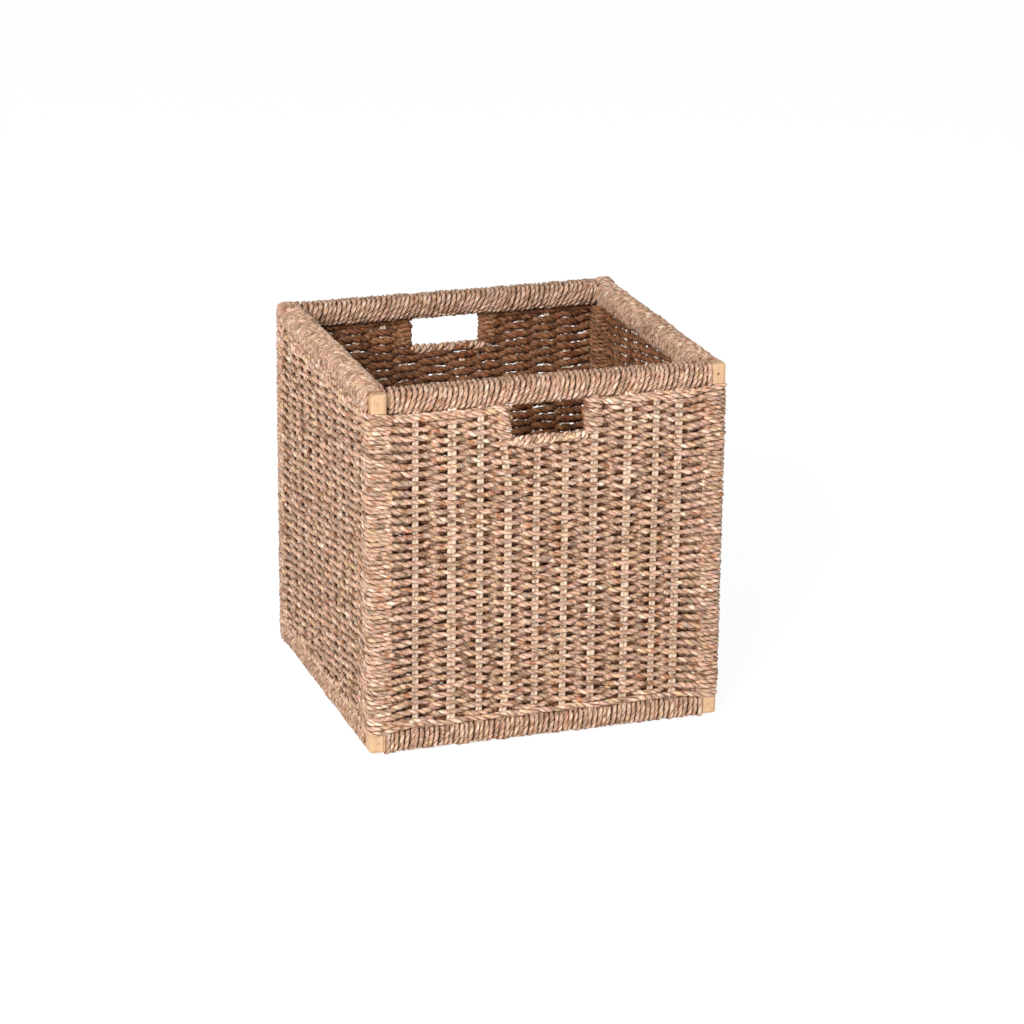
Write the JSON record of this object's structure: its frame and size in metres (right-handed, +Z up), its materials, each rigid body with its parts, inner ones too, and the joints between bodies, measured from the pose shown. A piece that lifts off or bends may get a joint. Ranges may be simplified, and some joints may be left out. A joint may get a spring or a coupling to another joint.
{
  "type": "woven seagrass storage basket",
  "caption": "Open-topped rectangular storage basket of twisted seagrass cord woven round stakes on a wooden frame, with cord-wound rails and a hand hole front and back.",
  "frame": {"origin": "middle of the footprint on the floor plane, which is the underside of the bottom rail windings", "axes": "+Z up, -Y towards the front wall with a hand hole, +X towards the right wall seen from the front"},
  "size_m": [0.32, 0.296, 0.325],
  "materials": {
    "seagrass": "matt dried grass, twisted in two plies",
    "wood": "satin, sanded edges",
    "stake": "matt pale split cane",
    "nail": "plain steel"
  },
  "bodies": {
    "root": {"bottom_rail_back": "wood", "bottom_rail_front": "wood", "bottom_rail_left": "wood", "bottom_rail_right": "wood", "bottom_rail_winding_back": "seagrass", "bottom_rail_winding_front": "seagrass", "bottom_rail_winding_left": "seagrass", "bottom_rail_winding_right": "seagrass", "corner_post_back_left": "wood", "corner_post_back_right": "wood", "corner_post_front_left": "wood", "corner_post_front_right": "wood", "hand_hole_core_back": "seagrass", "hand_hole_core_front": "seagrass", "hand_hole_winding_back": "seagrass", "hand_hole_winding_front": "seagrass", "nail_bottom_back_left": "nail", "nail_bottom_back_right": "nail", "nail_bottom_front_left": "nail", "nail_bottom_front_right": "nail", "nail_top_back_left": "nail", "nail_top_back_right": "nail", "nail_top_front_left": "nail", "nail_top_front_right": "nail", "stake_front_to_back_01": "stake", "stake_front_to_back_02": "stake", "stake_front_to_back_03": "stake", "stake_front_to_back_04": "stake", "stake_front_to_back_05": "stake", "stake_front_to_back_06": "stake", "stake_front_to_back_07": "stake", "stake_front_to_back_08": "stake", "stake_front_to_back_09": "stake", "stake_front_to_back_10": "stake", "stake_left_to_right_01": "stake", "stake_left_to_right_02": "stake", "stake_left_to_right_03": "stake", "stake_left_to_right_04": "stake", "stake_left_to_right_05": "stake", "stake_left_to_right_06": "stake", "stake_left_to_right_07": "stake", "stake_left_to_right_08": "stake", "stake_left_to_right_09": "stake", "stake_left_to_right_10": "stake", "top_rail_back": "wood", "top_rail_front": "wood", "top_rail_left": "wood", "top_rail_right": "wood", "top_rail_winding_back": "seagrass", "top_rail_winding_front": "seagrass", "top_rail_winding_left": "seagrass", "top_rail_winding_right": "seagrass", "woven_floor": "seagrass", "woven_wall": "seagrass"}
  },
  "joints": []
}
